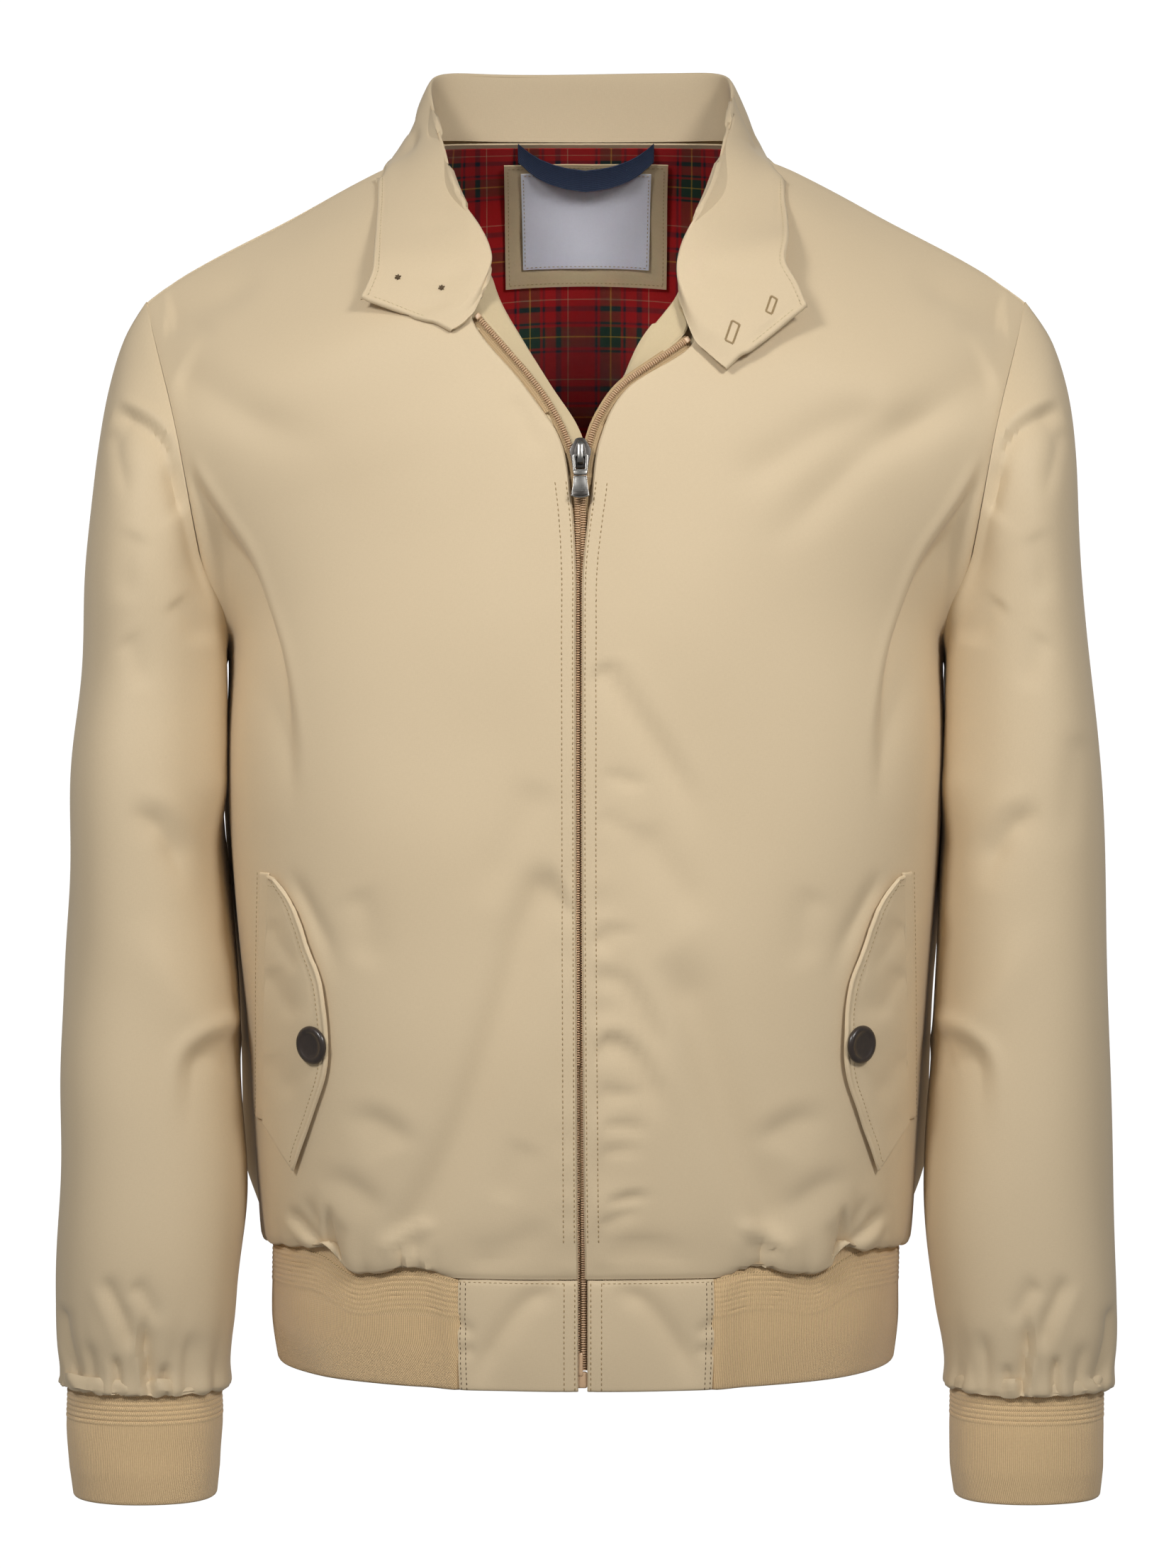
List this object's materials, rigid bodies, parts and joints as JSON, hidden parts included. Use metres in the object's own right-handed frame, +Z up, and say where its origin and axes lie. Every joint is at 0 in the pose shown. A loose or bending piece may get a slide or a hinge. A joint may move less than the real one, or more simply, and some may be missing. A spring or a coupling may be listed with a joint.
{
  "type": "zip-front blouson jacket",
  "caption": "Waist-length zip-front jacket in worn form with no wearer: open throat, turned-down collar, slanted flap pockets, knitted hem and cuffs, tartan lining.",
  "frame": {"origin": "on the centre plane of the jacket, level with its side neck points, where the wearer's shoulders hold it up", "axes": "+Z up, +X towards the wearer's left, the front faces -Y"},
  "size_m": [0.5652, 0.2677, 0.7596],
  "materials": {
    "shell": "matt light beige woven cotton-blend shell",
    "rib": "ribbed knit, tan",
    "lining": "smooth woven tartan lining, red ground",
    "zip_cloth": "woven tape and moulded teeth, beige pink",
    "slider_metal": "dark plated slider",
    "pull_metal": "nickel plated pull tab",
    "button": "dark brown moulded button",
    "label": "satin-woven plain label",
    "loop": "navy woven tape"
  },
  "bodies": {
    "jacket": {"front_left": "shell", "front_right": "shell", "back": "shell", "sleeve_left": "shell", "sleeve_right": "shell", "hem_rib": "rib", "hem_tab_left": "shell", "hem_tab_right": "shell", "cuff_left": "rib", "cuff_right": "rib", "facing_left": "shell", "facing_right": "shell", "lining_front_left": "lining", "lining_front_right": "lining", "lining_back": "lining", "collar": "shell", "slider": "slider_metal", "zip_box": "zip_cloth", "zip_teeth_left": "zip_cloth", "zip_teeth_right": "zip_cloth", "zip_tape_left": "zip_cloth", "zip_tape_right": "zip_cloth", "pocket_flap_left": "shell", "pocket_flap_right": "shell", "pocket_welt_left": "shell", "pocket_welt_right": "shell", "pocket_button_left": "button", "pocket_button_right": "button", "label_patch": "shell", "label": "label", "hanger_loop": "loop"},
    "pull_tab": {"pull_tab": "pull_metal"}
  },
  "joints": [
    {"name": "pull_tab_hinge", "type": "hinge", "parent": "jacket", "child": "pull_tab", "pos_m": [-0.0028, -0.13272, -0.15722], "axis": [-1, 0, 0], "range_deg": [0, 150]}
  ]
}
